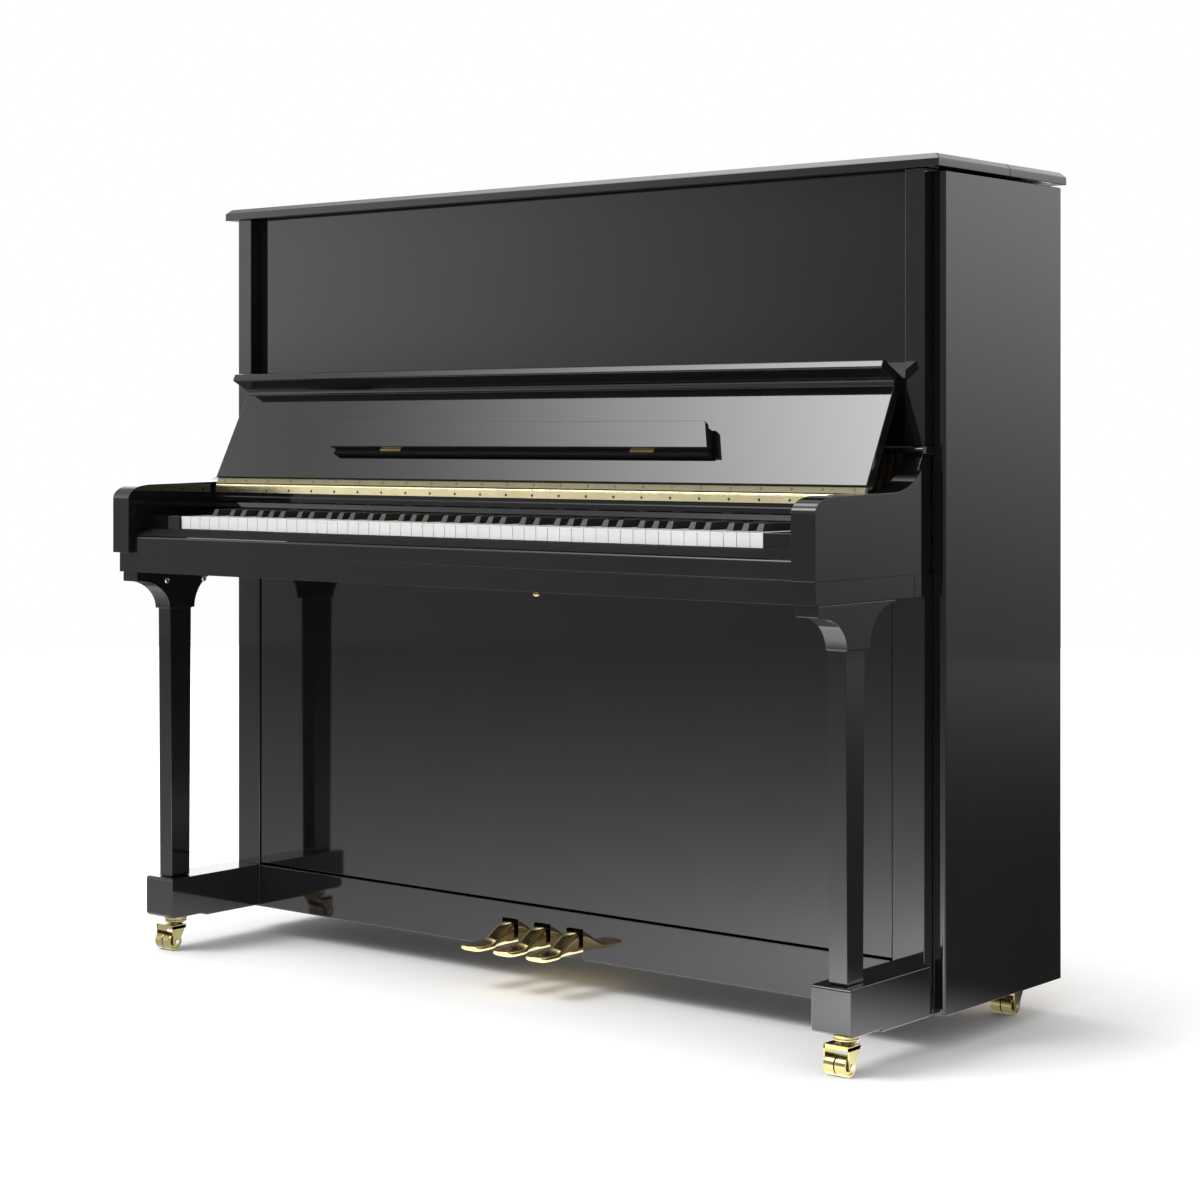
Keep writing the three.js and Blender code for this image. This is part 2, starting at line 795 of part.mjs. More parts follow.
function pinBlock() {
  const half = sideInner - 12;
  return block(-half, half, plateY + plateDeep + gap, backFrontY - gap, sideTop - beamTall, sideTop - 20);
}

const plateLow = toeBottom + 95;
const plateHigh = sideTop - 24;
const webTop = plateHigh - 150;

function ironPlate() {
  const half = sideInner - 14;
  const whole = block(-half, half, plateY, plateY + plateDeep, plateLow, plateHigh);
  const bars = 4;
  const rim = 60;
  const barWide = 26;
  const span = (2 * half - 2 * rim - (bars - 1) * barWide) / bars;
  const windows = [];
  for (let i = 0; i < bars; i += 1) {
    const x = -half + rim + i * (span + barWide);
    windows.push(block(x, x + span, plateY - 1, plateY + plateDeep + 1, plateLow + 130, webTop));
  }
  return whole.subtract(join(windows));
}

// String runs on the two bars that they bear on, one in front of every second damper.
function strings() {
  const half = keysHalf - notePitch;
  const low = plateLow + 60;
  const high = plateHigh - 50;
  const near = stringY - stringSize / 2;
  const far = stringY + stringSize / 2;
  const parts = [
    block(-half - 8, half + 8, near, plateY - gap, high - 70, high - 58),
    block(-half - 8, half + 8, near, plateY - gap, low + 20, low + 32),
  ];
  for (let x = -half; x < half; x += stringEvery * notePitch) {
    parts.push(block(x - stringSize / 2, x + stringSize / 2, near - 0.1, far, low, high));
  }
  return join(parts);
}

// ---- action -------------------------------------------------------------------------------
function hammers() {
  const half = keysHalf;
  const rail = block(-half, half, hammerPivotY - 9, hammerPivotY + 9, hammerPivotZ - 7, hammerPivotZ + 9);
  const parts = [rail];
  const shank = [
    [hammerPivotY - 3, hammerPivotZ + 5],
    [hammerPivotY + 3, hammerPivotZ + 5],
    [hammerPivotY + 46, hammerPivotZ + 104],
    [hammerPivotY + 62, hammerPivotZ + 110],
    [hammerPivotY + 62, hammerPivotZ + 128],
    [hammerPivotY + 36, hammerPivotZ + 128],
  ];
  for (let i = 0; i < noteCount; i += 1) {
    const x = -half + (i + 0.5) * notePitch;
    parts.push(barX(shank, x - 4.5, x + 4.5));
  }
  return join(parts);
}

function dampers() {
  const half = keysHalf;
  const rail = block(-half, half, damperPivotY - 4, damperPivotY + 4, damperPivotZ - 6, damperPivotZ + 6);
  const parts = [rail];
  const rear = stringY - stringSize / 2 - 0.6;
  for (let i = 0; i < noteCount / 2; i += 1) {
    const x = -half + (2 * i + 1) * notePitch;
    const lever = [
      [damperPivotY - 2, damperPivotZ + 4],
      [damperPivotY + 2, damperPivotZ + 4],
      [damperPivotY + 2, damperPivotZ + 140],
      [rear, damperPivotZ + 140],
      [rear, damperPivotZ + 172],
      [damperPivotY - 2, damperPivotZ + 172],
    ];
    parts.push(barX(lever, x - 7, x + 7));
  }
  return join(parts);
}

function keyFrame() {
  const half = keysHalf;
  const floor = bedTop + gap;
  const rails = [
    block(-half, half, 22, 60, floor, keyBottom - keyDip - 9),
    block(-half, half, balanceY - 7, balanceY + 7, floor, keyBottom - 3.5),
    block(-half, half, keyLength - 34, keyLength, floor, keyBottom - 12),
  ];
  for (const x of [-half + 20, 0, half - 20]) {
    rails.push(block(x - 20, x + 20, 40, keyLength - 10, floor, floor + 14));
  }
  return join(rails);
}

// ---- keys ---------------------------------------------------------------------------------
// White keys to the left of each black key, counted inside an octave that starts at C.
const blackAfter = [0, 1, 3, 4, 5];
// How far each black key leans from the line between its two white keys.
const blackLean = { 0: -2.2, 1: 2.2, 3: -3, 4: 0, 5: 3 };
const firstC = 2; // white keys below the lowest C

function whiteX(index) {
  return -keysHalf + index * whitePitch;
}

function blackKeysBetween(from, to) {
  const centres = [];
  for (let i = from; i < to; i += 1) {
    const step = (i - firstC + 7) % 7;
    if (blackAfter.includes(step) && i < whiteCount - 1) centres.push(whiteX(i + 1) + blackLean[step]);
  }
  return centres;
}

// One octave of keys, joined at the balance point: white keys from index from up to to.
function keyOctave(from, to) {
  const whites = [];
  for (let i = from; i < to; i += 1) {
    whites.push(block(whiteX(i) + keyGap / 2, whiteX(i + 1) - keyGap / 2, 0, keyLength, keyBottom, keyTop));
  }
  const centres = blackKeysBetween(from, to);
  const slotHalf = blackWidth / 2 + blackClear;
  const slots = centres.map((x) =>
    block(x - slotHalf, x + slotHalf, headLength, keyLength + 1, keyBottom - 1, keyTop + 1),
  );
  const blacks = centres.map((x) =>
    barX(
      [
        [headLength + 1, keyBottom],
        [keyLength, keyBottom],
        [keyLength, keyTop - 1],
        [blackEndY, keyTop - 1],
        [blackEndY, blackTop],
        [headLength + 6, blackTop],
        [headLength + 1, keyTop],
      ],
      x - blackWidth / 2,
      x + blackWidth / 2,
    ),
  );
  const bar = block(
    whiteX(from) + keyGap / 2,
    whiteX(to) - keyGap / 2,
    balanceY - 9,
    balanceY + 9,
    keyBottom - 2,
    keyBottom + 3,
  );
  return join(whites).subtract(join(slots)).add(join(blacks)).add(bar);
}

// ---- the whole piano ----------------------------------------------------------------------
addPair("side_panel", sidePanel(), lacquer);
addPair("upper_post", upperPost(), lacquer);
addPair("lower_stile", lowerStile(), lacquer);
add("upper_panel", upperPanel(), lacquer);
add("lower_panel", lowerPanel(), lacquer);
add("kick_rail", kickRail(), lacquer);
add("bottom_board", bottomBoard(), lacquer);
add("top_shelf", topShelf(), lacquer);
add("lid_front", lidBoard(lidFrontY, lidSeamY - gap, true, false), lacquer);
add("lid_rear", lidBoard(lidSeamY + gap, lidRearY, false, true), lacquer);
add("lid_hinge", lidHinge(), brass);
add("keybed", keybed(), lacquer);
add("key_slip", keySlip(), lacquer);
addPair("key_block", keyBlock(), lacquer);
addPair("arm", arm(), lacquer);
add("hinge_rail", hingeRail(), lacquer);
add("fallboard", fallboard(), lacquer);
add("fallboard_hinge_fixed_leaf", hingeFixedLeaf(), brass);
add("fallboard_hinge_moving_leaf", hingeMovingLeaf(), brass);
add("music_ledge", musicLedge(), lacquer);
add("music_ledge_flap", musicFlap(), lacquer);
addPair("leg", leg(), lacquer);
addPair("toe_block", toeBlock(), lacquer);

const frontCasterX = caseHalf - toeInset - toeWide / 2;
const rearCasterX = sideInner - 2 * plateRadius;
const casterPlaces = {
  front_left: [-frontCasterX, frontCasterY],
  front_right: [frontCasterX, frontCasterY],
  rear_left: [-rearCasterX, sideRearY - rearCasterInset],
  rear_right: [rearCasterX, sideRearY - rearCasterInset],
};
for (const [place, [x, y]] of Object.entries(casterPlaces)) {
  add("caster_fork_" + place, casterFork(x, y), brass);
  add("caster_wheels_" + place, casterWheels(x, y), brass);
}

["left", "middle", "right"].forEach((side, index) => {
  add("pedal_" + side, pedal(index), brass);
  add("trap_rod_" + side, trapRod(index), beech);
});

add("back_frame", backFrame(), beech);
add("soundboard", soundboard(), spruce);
add("pin_block", pinBlock(), beech);
add("iron_plate", ironPlate(), gilt);
add("strings", strings(), steel);
add("hammers", hammers(), felt);
add("dampers", dampers(), felt);
add("key_frame", keyFrame(), beech);

// The lowest group holds the part octave below the lowest C, the highest the single top key.
const octaveStarts = [0, 9, 16, 23, 30, 37, 44, whiteCount];
for (let i = 0; i + 1 < octaveStarts.length; i += 1) {
  add("keys_group_" + (i + 1), keyOctave(octaveStarts[i], octaveStarts[i + 1]), ivory);
}

piano.position.y = -(overall.front + overall.rear) / 2;

export default piano;
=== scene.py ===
import json
import math

import bmesh
import bpy
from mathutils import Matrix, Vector


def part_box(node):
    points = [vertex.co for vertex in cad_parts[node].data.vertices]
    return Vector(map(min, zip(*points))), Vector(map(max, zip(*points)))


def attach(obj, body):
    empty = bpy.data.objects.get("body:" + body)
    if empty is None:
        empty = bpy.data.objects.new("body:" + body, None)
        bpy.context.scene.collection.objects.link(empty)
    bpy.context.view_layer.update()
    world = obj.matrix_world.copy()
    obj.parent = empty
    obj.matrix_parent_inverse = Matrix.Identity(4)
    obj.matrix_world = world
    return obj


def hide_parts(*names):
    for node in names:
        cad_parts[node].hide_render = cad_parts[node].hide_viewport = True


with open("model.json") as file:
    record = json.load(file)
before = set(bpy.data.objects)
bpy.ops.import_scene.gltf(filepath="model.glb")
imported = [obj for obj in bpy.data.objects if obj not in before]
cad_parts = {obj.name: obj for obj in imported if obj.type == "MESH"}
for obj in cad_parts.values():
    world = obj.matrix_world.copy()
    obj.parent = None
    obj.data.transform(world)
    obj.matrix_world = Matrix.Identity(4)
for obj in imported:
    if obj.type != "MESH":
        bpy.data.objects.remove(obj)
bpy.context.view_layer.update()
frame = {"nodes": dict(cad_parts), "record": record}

# An upright piano in metres: +X to the treble end, +Y to the back, +Z up.
MM = 0.001
BODY_OF = {n: b for b, nodes in frame["record"]["behaviour"]["bodies"].items() for n in nodes}


def lo(node):
    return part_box(node)[0]


def hi(node):
    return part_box(node)[1]


def middle(node, axis):
    return (lo(node)[axis] + hi(node)[axis]) / 2


# ---- materials ----------------------------------------------------------------------------
def link(tree, source, socket, target, slot):
    tree.links.new(source.outputs[socket], target.inputs[slot])


def noise_node(tree, scale, detail=3.0, stretch=(1, 1, 1)):
    place = tree.nodes.new("ShaderNodeTexCoord")
    mapping = tree.nodes.new("ShaderNodeMapping")
    mapping.inputs["Scale"].default_value = stretch
    noise = tree.nodes.new("ShaderNodeTexNoise")
    noise.inputs["Scale"].default_value = scale
    noise.inputs["Detail"].default_value = detail
    link(tree, place, "Object", mapping, "Vector")
    link(tree, mapping, "Vector", noise, "Vector")
    return noise


def ramp_node(tree, source, socket, low, high, start=0.3, end=0.7):
    ramp = tree.nodes.new("ShaderNodeValToRGB")
    ramp.color_ramp.elements[0].position = start
    ramp.color_ramp.elements[1].position = end
    ramp.color_ramp.elements[0].color = (*low, 1)
    ramp.color_ramp.elements[1].color = (*high, 1)
    link(tree, source, socket, ramp, "Fac")
    return ramp


def make_material(name, low, high, rough, metal=0.0, scale=40.0, stretch=(1, 1, 1), bump=0.0, sockets=None):
    """A procedural finish: two close colours and two roughnesses, both over noise."""
    mat = bpy.data.materials.new(name)
    mat.use_nodes = True
    tree = mat.node_tree
    shader = tree.nodes["Principled BSDF"]
    noise = noise_node(tree, scale, stretch=stretch)
    colour = ramp_node(tree, noise, "Fac", low, high)
    link(tree, colour, "Color", shader, "Base Color")
    gloss = tree.nodes.new("ShaderNodeMapRange")
    gloss.inputs["To Min"].default_value = rough[0]
    gloss.inputs["To Max"].default_value = rough[1]
    link(tree, noise, "Fac", gloss, "Value")
    link(tree, gloss, "Result", shader, "Roughness")
    shader.inputs["Metallic"].default_value = metal
    for key, value in (sockets or {}).items():
        shader.inputs[key].default_value = value
    if bump:
        relief = tree.nodes.new("ShaderNodeBump")
        relief.inputs["Strength"].default_value = 0.35
        relief.inputs["Distance"].default_value = bump
        link(tree, noise, "Fac", relief, "Height")
        link(tree, relief, "Normal", shader, "Normal")
    return mat


LACQUER = make_material(
    "black_lacquer_finish", (0.0035, 0.0035, 0.004), (0.005, 0.005, 0.0055), (0.035, 0.065), scale=6.0
)
SATIN_BLACK = make_material(
    "black_satin_finish", (0.006, 0.006, 0.006), (0.009, 0.009, 0.009), (0.3, 0.42), scale=30.0
)
BRASS = make_material(
    "brass_finish", (0.80, 0.60, 0.27), (0.88, 0.68, 0.33), (0.10, 0.19), metal=1.0, scale=25.0
)
# A darker copy of the brass for the casters: painted shade that keeps them from glaring in the floor's
# bright glow.
CASTER_BRASS_SHADED = make_material(
    "caster_brass_painted_shade", (0.27, 0.23, 0.105), (0.33, 0.285, 0.13), (0.14, 0.22), metal=1.0, scale=25.0
)
BRASS_PALE = make_material(
    "brass_pale_finish", (0.90, 0.80, 0.48), (0.96, 0.86, 0.54), (0.16, 0.26), metal=1.0, scale=25.0
)
# The moving hinge leaf: a dull dark olive in place of the hinge's brass, painted shade that damps the bright
# reflection its tilt catches.
LEAF_OLIVE_SHADED = make_material(
    "leaf_olive_painted_shade", (0.11, 0.092, 0.032), (0.15, 0.125, 0.045), (0.4, 0.5), scale=25.0,
    sockets={"Specular IOR Level": 0.35},
)
SCREW_DARK = make_material(
    "screw_dark_finish", (0.05, 0.04, 0.02), (0.08, 0.065, 0.03), (0.3, 0.4), metal=0.6, scale=200.0
)
IVORY = make_material(
    "key_white_finish", (0.65, 0.65, 0.645), (0.70, 0.70, 0.695), (0.16, 0.24), scale=18.0
)
EBONY = make_material(
    "key_black_finish", (0.008, 0.008, 0.008), (0.013, 0.013, 0.013), (0.36, 0.46), scale=60.0,
    sockets={"Specular IOR Level": 0.3},
)
BEECH = make_material(
    "beech_finish", (0.50, 0.33, 0.18), (0.62, 0.43, 0.25), (0.42, 0.58), scale=9.0,
    stretch=(12, 12, 1.2), bump=0.0002,
)
BEECH_ACROSS = make_material(
    "beech_across_finish", (0.50, 0.33, 0.18), (0.62, 0.43, 0.25), (0.42, 0.58), scale=9.0,
    stretch=(1.2, 12, 12), bump=0.0002,
)
SPRUCE = make_material(
    "spruce_finish", (0.60, 0.42, 0.22), (0.72, 0.53, 0.30), (0.34, 0.48), scale=7.0,
    stretch=(2.0, 30, 30), bump=0.0001,
)
GILT = make_material(
    "gilt_iron_finish", (0.42, 0.30, 0.11), (0.52, 0.38, 0.15), (0.34, 0.48), metal=0.85, scale=120.0,
    bump=0.0003,
)
STEEL = make_material(
    "steel_finish", (0.52, 0.53, 0.55), (0.66, 0.67, 0.69), (0.22, 0.34), metal=1.0, scale=200.0
)
COPPER = make_material(
    "copper_winding_finish", (0.55, 0.26, 0.13), (0.68, 0.36, 0.19), (0.28, 0.4), metal=1.0, scale=300.0
)
FELT = make_material(
    "felt_finish", (0.66, 0.63, 0.56), (0.76, 0.73, 0.66), (0.88, 0.98), scale=350.0, bump=0.0004
)
RED_FELT = make_material(
    "red_felt_finish", (0.26, 0.02, 0.02), (0.36, 0.04, 0.035), (0.9, 0.98), scale=350.0, bump=0.0004
)
# A black with almost no shine: painted shade on the music ledge, and a dark strip on the key slip.
MATTE_BLACK = make_material(
    "black_matte_finish", (0.006, 0.006, 0.006), (0.011, 0.011, 0.012), (0.85, 0.95), scale=500.0,
    bump=0.0002, sockets={"Specular IOR Level": 0.1},
)


# ---- mesh helpers -------------------------------------------------------------------------
def piece(name, bm, body, material, nodes=(), smooth=True):
    """A finished mesh as a piece that rides on a body and stands for the named CAD nodes."""
    bmesh.ops.recalc_face_normals(bm, faces=bm.faces)
    mesh = bpy.data.meshes.new(name)
    bm.to_mesh(mesh)
    bm.free()
    mesh.polygons.foreach_set("use_smooth", [smooth] * len(mesh.polygons))
    mesh.materials.append(material)
    obj = bpy.data.objects.new(name, mesh)
    bpy.context.scene.collection.objects.link(obj)
    if smooth:
        mesh.set_sharp_from_angle(angle=math.radians(38))
        even = obj.modifiers.new("even_normals", "WEIGHTED_NORMAL")
        even.keep_sharp = True
        even.weight = 60
    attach(obj, body)
    if nodes:
        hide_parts(*nodes)
    return obj


def bevel_sharp(bm, width, segments=2, angle=26):
    """Rounds every edge sharper than the angle."""
    limit = math.radians(angle)
    edges = [e for e in bm.edges if len(e.link_faces) == 2 and e.calc_face_angle(0) > limit]
    bmesh.ops.bevel(
        bm, geom=edges, offset=width, segments=segments, profile=0.5, affect="EDGES", clamp_overlap=True
    )


def cad_mesh(node):
    """A clean copy of a CAD node's mesh with its flat faces joined."""
    bm = bmesh.new()
    bm.from_mesh(frame["nodes"][node].data)
    bmesh.ops.remove_doubles(bm, verts=bm.verts, dist=1e-5)
    bmesh.ops.dissolve_limit(
        bm, angle_limit=math.radians(0.6), use_dissolve_boundaries=False, verts=bm.verts, edges=bm.edges
    )
    return bm


def dressed(node, width, material, segments=2):
    """The CAD node with its edges rounded."""
    bm = cad_mesh(node)
    bevel_sharp(bm, width, segments)
    return piece(node + "_skin", bm, BODY_OF[node], material, (node,))


def add_prism(bm, outline, axis, start, end):
    """An outline drawn out along an axis. The outline's two numbers are the other axes in order."""
    rings = []
    for depth in (start, end):
        ring = []
        for u, v in outline:
            spot = {0: (depth, u, v), 1: (u, depth, v), 2: (u, v, depth)}[axis]
            ring.append(bm.verts.new(spot))
        rings.append(ring)
    count = len(outline)
    bm.faces.new(rings[0])
    bm.faces.new(list(reversed(rings[1])))
    for i in range(count):
        j = (i + 1) % count
        bm.faces.new((rings[0][i], rings[1][i], rings[1][j], rings[0][j]))


def add_box(bm, low, high):
    floor = [(low[0], low[1]), (high[0], low[1]), (high[0], high[1]), (low[0], high[1])]
    add_prism(bm, floor, 2, low[2], high[2])


def add_loft(bm, rings):
    """Skins a row of rings that have the same number of points, and closes its two ends."""
    made = [[bm.verts.new(p) for p in ring] for ring in rings]
    count = len(made[0])
    for near, far in zip(made, made[1:]):
        for i in range(count):
            j = (i + 1) % count
            bm.faces.new((near[i], far[i], far[j], near[j]))
    bm.faces.new(made[0])
    bm.faces.new(list(reversed(made[-1])))


def add_turned(bm, centre, axis, profile, sides=24):
    """A turned solid: profile is (distance along the axis, radius) from end to end."""
    other = [i for i in range(3) if i != axis]
    rings = []
    for along, radius in profile:
        ring = []
        for i in range(sides):
            turn = 2 * math.pi * i / sides
            spot = [0.0, 0.0, 0.0]
            spot[axis] = centre[axis] + along
            spot[other[0]] = centre[other[0]] + radius * math.cos(turn)
            spot[other[1]] = centre[other[1]] + radius * math.sin(turn)
            ring.append(spot)
        rings.append(ring)
    add_loft(bm, rings)


def add_stud(bm, at, out, profile, sides=14):
    """A small turned head standing on a face: profile is (height, radius) along out."""
    out = Vector(out).normalized()
    across = out.orthogonal().normalized()
    other = out.cross(across)
    rings = []
    for height, radius in profile:
        ring = []
        for i in range(sides):
            turn = 2 * math.pi * i / sides
            side = across * math.cos(turn) + other * math.sin(turn)
            ring.append(Vector(at) + out * height + side * radius)
        rings.append(ring)
    add_loft(bm, rings)


def screw_profile(radius, proud):
    """A low domed screw head, dished in the middle."""
    return [(-0.2 * MM, radius), (proud * 0.4, radius), (proud, radius * 0.72), (proud * 0.55, radius * 0.5)]


def add_rod(bm, start, end, radius, sides=6):
    """A straight rod between two points."""
    way = Vector(end) - Vector(start)
    add_stud(bm, start, way, [(0.0, radius), (way.length, radius)], sides)


def arc(centre, radii, start, end, steps):
    return [
        (
            centre[0] + radii[0] * math.cos(start + (end - start) * i / steps),
            centre[1] + radii[1] * math.sin(start + (end - start) * i / steps),
        )
        for i in range(steps + 1)
    ]


def rounded_ring(cx, half, z0, z1, y, power=4.0, sides=28):
    """A cross-section at depth y, between a rectangle and an ellipse."""
    ring = []
    cz = (z0 + z1) / 2
    high = (z1 - z0) / 2
    for i in range(sides):
        turn = 2 * math.pi * i / sides
        c, s = math.cos(turn), math.sin(turn)
        u = math.copysign(abs(c) ** (2 / power), c)
        v = math.copysign(abs(s) ** (2 / power), s)
        ring.append((cx + half * u, y, cz + high * v))
    return ring


# ---- camera -------------------------------------------------------------------------------
CAMERA_AT = (2.7227, -3.2365, 0.89834)
CAMERA_TURN = 39.18
camera_data = bpy.data.cameras.new("camera")
camera_data.lens = 76.87
camera_data.sensor_width = 36
camera_data.shift_y = -0.13585
camera_data.clip_end = 100
camera = bpy.data.objects.new("camera", camera_data)
camera.location = CAMERA_AT
camera.rotation_euler = (math.radians(90), 0, math.radians(CAMERA_TURN))
bpy.context.scene.collection.objects.link(camera)
bpy.context.scene.camera = camera
bpy.context.scene.view_settings.view_transform = "Standard"
bpy.context.scene.view_settings.look = "None"


# ---- studio -------------------------------------------------------------------------------
def math_node(tree, operation, first, second=None):
    node = tree.nodes.new("ShaderNodeMath")
    node.operation = operation
    for slot, value in enumerate((first, second)):
        if value is None:
            continue
        if isinstance(value, (int, float)):
            node.inputs[slot].default_value = value
        else:
            tree.links.new(value, node.inputs[slot])
    return node.outputs[0]


def smooth_range(tree, value, low, high, bottom, top):
    node = tree.nodes.new("ShaderNodeMapRange")
    node.interpolation_type = "SMOOTHSTEP"
    for slot, number in zip(("From Min", "From Max", "To Min", "To Max"), (low, high, bottom, top)):
        node.inputs[slot].default_value = number
    tree.links.new(value, node.inputs["Value"])
    return node.outputs["Result"]


# Soft lights round the piano: direction, degrees from full to nothing, strength.
LOBES = (
    ((-0.38, -0.53, 0.75), (0, 24), 19.0),
    ((-0.55, 0.12, 0.82), (0, 20), 4.5),
    ((-0.95, -0.30, 0.05), (12, 46), 2.3),
    ((0.60, -0.60, 0.70), (10, 50), 0.8),
)
BASE_LIGHT = 0.36
# The light from behind: its strength, the heights (Z of the direction) that it rises and fades
# between, what is left of it overhead, and the depths (Y) that it comes in between.
BACK_LIGHT = 2.0
BACK_RISE = (-0.10, 0.20)
BACK_FADE = (0.35, 0.7)
BACK_OVERHEAD = 0.1
BACK_DEPTH = (0.1, 0.7)
# The soft lights sink to this share under the horizon.
SUNK_RISE = (-0.03, 0.05)
SUNK_SHARE = 0.1


def build_world():
    world = bpy.data.worlds.new("studio")
    bpy.context.scene.world = world
    world.use_nodes = True
    tree = world.node_tree
    tree.nodes.clear()
    place = tree.nodes.new("ShaderNodeTexCoord")
    direction = tree.nodes.new("ShaderNodeVectorMath")
    direction.operation = "NORMALIZE"
    link(tree, place, "Generated", direction, 0)
    parts = tree.nodes.new("ShaderNodeSeparateXYZ")
    link(tree, direction, "Vector", parts, "Vector")
    total = None
    for towards, (inner, outer), strength in LOBES:
        dot = tree.nodes.new("ShaderNodeVectorMath")
        dot.operation = "DOT_PRODUCT"
        dot.inputs[1].default_value = Vector(towards).normalized()
        link(tree, direction, "Vector", dot, 0)
        angle = math_node(tree, "ARCCOSINE", dot.outputs["Value"])
        light = smooth_range(tree, angle, math.radians(inner), math.radians(outer), strength, 0.0)
        total = light if total is None else math_node(tree, "ADD", total, light)
    rise = smooth_range(tree, parts.outputs["Z"], *BACK_RISE, 0.0, BACK_LIGHT)
    fade = smooth_range(tree, parts.outputs["Z"], *BACK_FADE, 1.0, BACK_OVERHEAD)
    rise = math_node(tree, "MULTIPLY", rise, fade)
    behind = smooth_range(tree, parts.outputs["Y"], *BACK_DEPTH, 0.0, 1.0)
    back = math_node(tree, "MULTIPLY", rise, behind)
    sunk = smooth_range(tree, parts.outputs["Z"], *SUNK_RISE, SUNK_SHARE, 1.0)
    total = math_node(tree, "MULTIPLY", total, sunk)
    total = math_node(tree, "ADD", total, back)
    total = math_node(tree, "ADD", total, BASE_LIGHT)
    seen = tree.nodes.new("ShaderNodeLightPath")
    strength = tree.nodes.new("ShaderNodeMix")
    strength.data_type = "FLOAT"
    tree.links.new(seen.outputs["Is Camera Ray"], strength.inputs[0])
    tree.links.new(total, strength.inputs[2])
    strength.inputs[3].default_value = 1.0
    shader = tree.nodes.new("ShaderNodeBackground")
    shader.inputs["Color"].default_value = (1, 1, 1, 1)
    tree.links.new(strength.outputs[0], shader.inputs["Strength"])
    out = tree.nodes.new("ShaderNodeOutputWorld")
    link(tree, shader, "Background", out, "Surface")


FLOOR_SIZE = 7.0
FLOOR_COLOUR = (0.6, 0.6, 0.6, 1)
# What the polished faces see of the floor: a painted glow, bright in front round this point, and dim behind,
# painted shade where the piano's shadow falls.
GLOW_AT = (0.7, -0.8)
GLOW_STRENGTH = 2.0
GLOW_MOST = 5.5
GLOW_FAR = 0.1
GLOW_DEPTH = (-0.1, 0.45)
DIM_REACH = (1.6, FLOOR_SIZE)
DIM_GLOW = (0.10, 0.46)
# What the camera sees: a floor lifted towards white by a painted glow wherever the air over it is open, so
# it is painted darker under and round the piano: painted shade.
LIFT_REACH = (0.8, 2.2)
LIFT_GLOW = (0.50, 0.75)
SHADE_DISTANCE = 0.45
SHADE_POWER = 2.5


def build_floor():
    bm = bmesh.new()
    bmesh.ops.create_circle(bm, cap_ends=True, radius=FLOOR_SIZE, segments=96)
    mesh = bpy.data.meshes.new("floor")
    bm.to_mesh(mesh)
    bm.free()
    floor = bpy.data.objects.new("floor", mesh)
    floor.location.z = -0.0005
    bpy.context.scene.collection.objects.link(floor)
    mat = bpy.data.materials.new("floor_white")
    mat.use_nodes = True
    tree = mat.node_tree
    tree.nodes.clear()
    place = tree.nodes.new("ShaderNodeTexCoord")
    parts = tree.nodes.new("ShaderNodeSeparateXYZ")
    link(tree, place, "Object", parts, "Vector")
    away = tree.nodes.new("ShaderNodeVectorMath")
    away.operation = "DISTANCE"
    away.inputs[1].default_value = (*GLOW_AT, 0)
    link(tree, place, "Object", away, 0)
    far = math_node(tree, "ADD", away.outputs["Value"], 0.1)
    glow = math_node(tree, "MINIMUM", math_node(tree, "DIVIDE", GLOW_STRENGTH, far), GLOW_MOST)
    glow = math_node(tree, "ADD", glow, GLOW_FAR)
    centre = tree.nodes.new("ShaderNodeVectorMath")
    centre.operation = "LENGTH"
    link(tree, place, "Object", centre, 0)
    shade = smooth_range(tree, parts.outputs["Y"], *GLOW_DEPTH, 1.0, 0.0)
    dim = smooth_range(tree, centre.outputs["Value"], *DIM_REACH, *DIM_GLOW)
    glow = math_node(tree, "MULTIPLY", glow, shade)
    dim = math_node(tree, "MULTIPLY", dim, math_node(tree, "SUBTRACT", 1.0, shade))
    glow = math_node(tree, "ADD", glow, dim)
    # Painted light for reflections: the floor glows here though it is no lamp, with painted shade behind the
    # piano.
    bounce = tree.nodes.new("ShaderNodeEmission")
    tree.links.new(glow, bounce.inputs["Strength"])
    surface = tree.nodes.new("ShaderNodeBsdfDiffuse")
    surface.inputs["Color"].default_value = FLOOR_COLOUR
    # Painted shade: the glow is cut by ambient occlusion, so the floor is painted darker close to the piano.
    lift = tree.nodes.new("ShaderNodeEmission")
    open_air = tree.nodes.new("ShaderNodeAmbientOcclusion")
    open_air.samples = 8
    open_air.inputs["Distance"].default_value = SHADE_DISTANCE
    clear = math_node(tree, "POWER", open_air.outputs["AO"], SHADE_POWER)
    bright = smooth_range(tree, centre.outputs["Value"], *LIFT_REACH, *LIFT_GLOW)
    tree.links.new(math_node(tree, "MULTIPLY", bright, clear), lift.inputs["Strength"])
    lit = tree.nodes.new("ShaderNodeAddShader")
    tree.links.new(surface.outputs[0], lit.inputs[0])
    tree.links.new(lift.outputs[0], lit.inputs[1])
    seen = tree.nodes.new("ShaderNodeLightPath")
    mix = tree.nodes.new("ShaderNodeMixShader")
    tree.links.new(seen.outputs["Is Camera Ray"], mix.inputs[0])
    tree.links.new(bounce.outputs[0], mix.inputs[1])
    tree.links.new(lit.outputs[0], mix.inputs[2])
    out = tree.nodes.new("ShaderNodeOutputMaterial")
    tree.links.new(mix.outputs[0], out.inputs["Surface"])
    floor.data.materials.append(mat)


build_world()
build_floor()


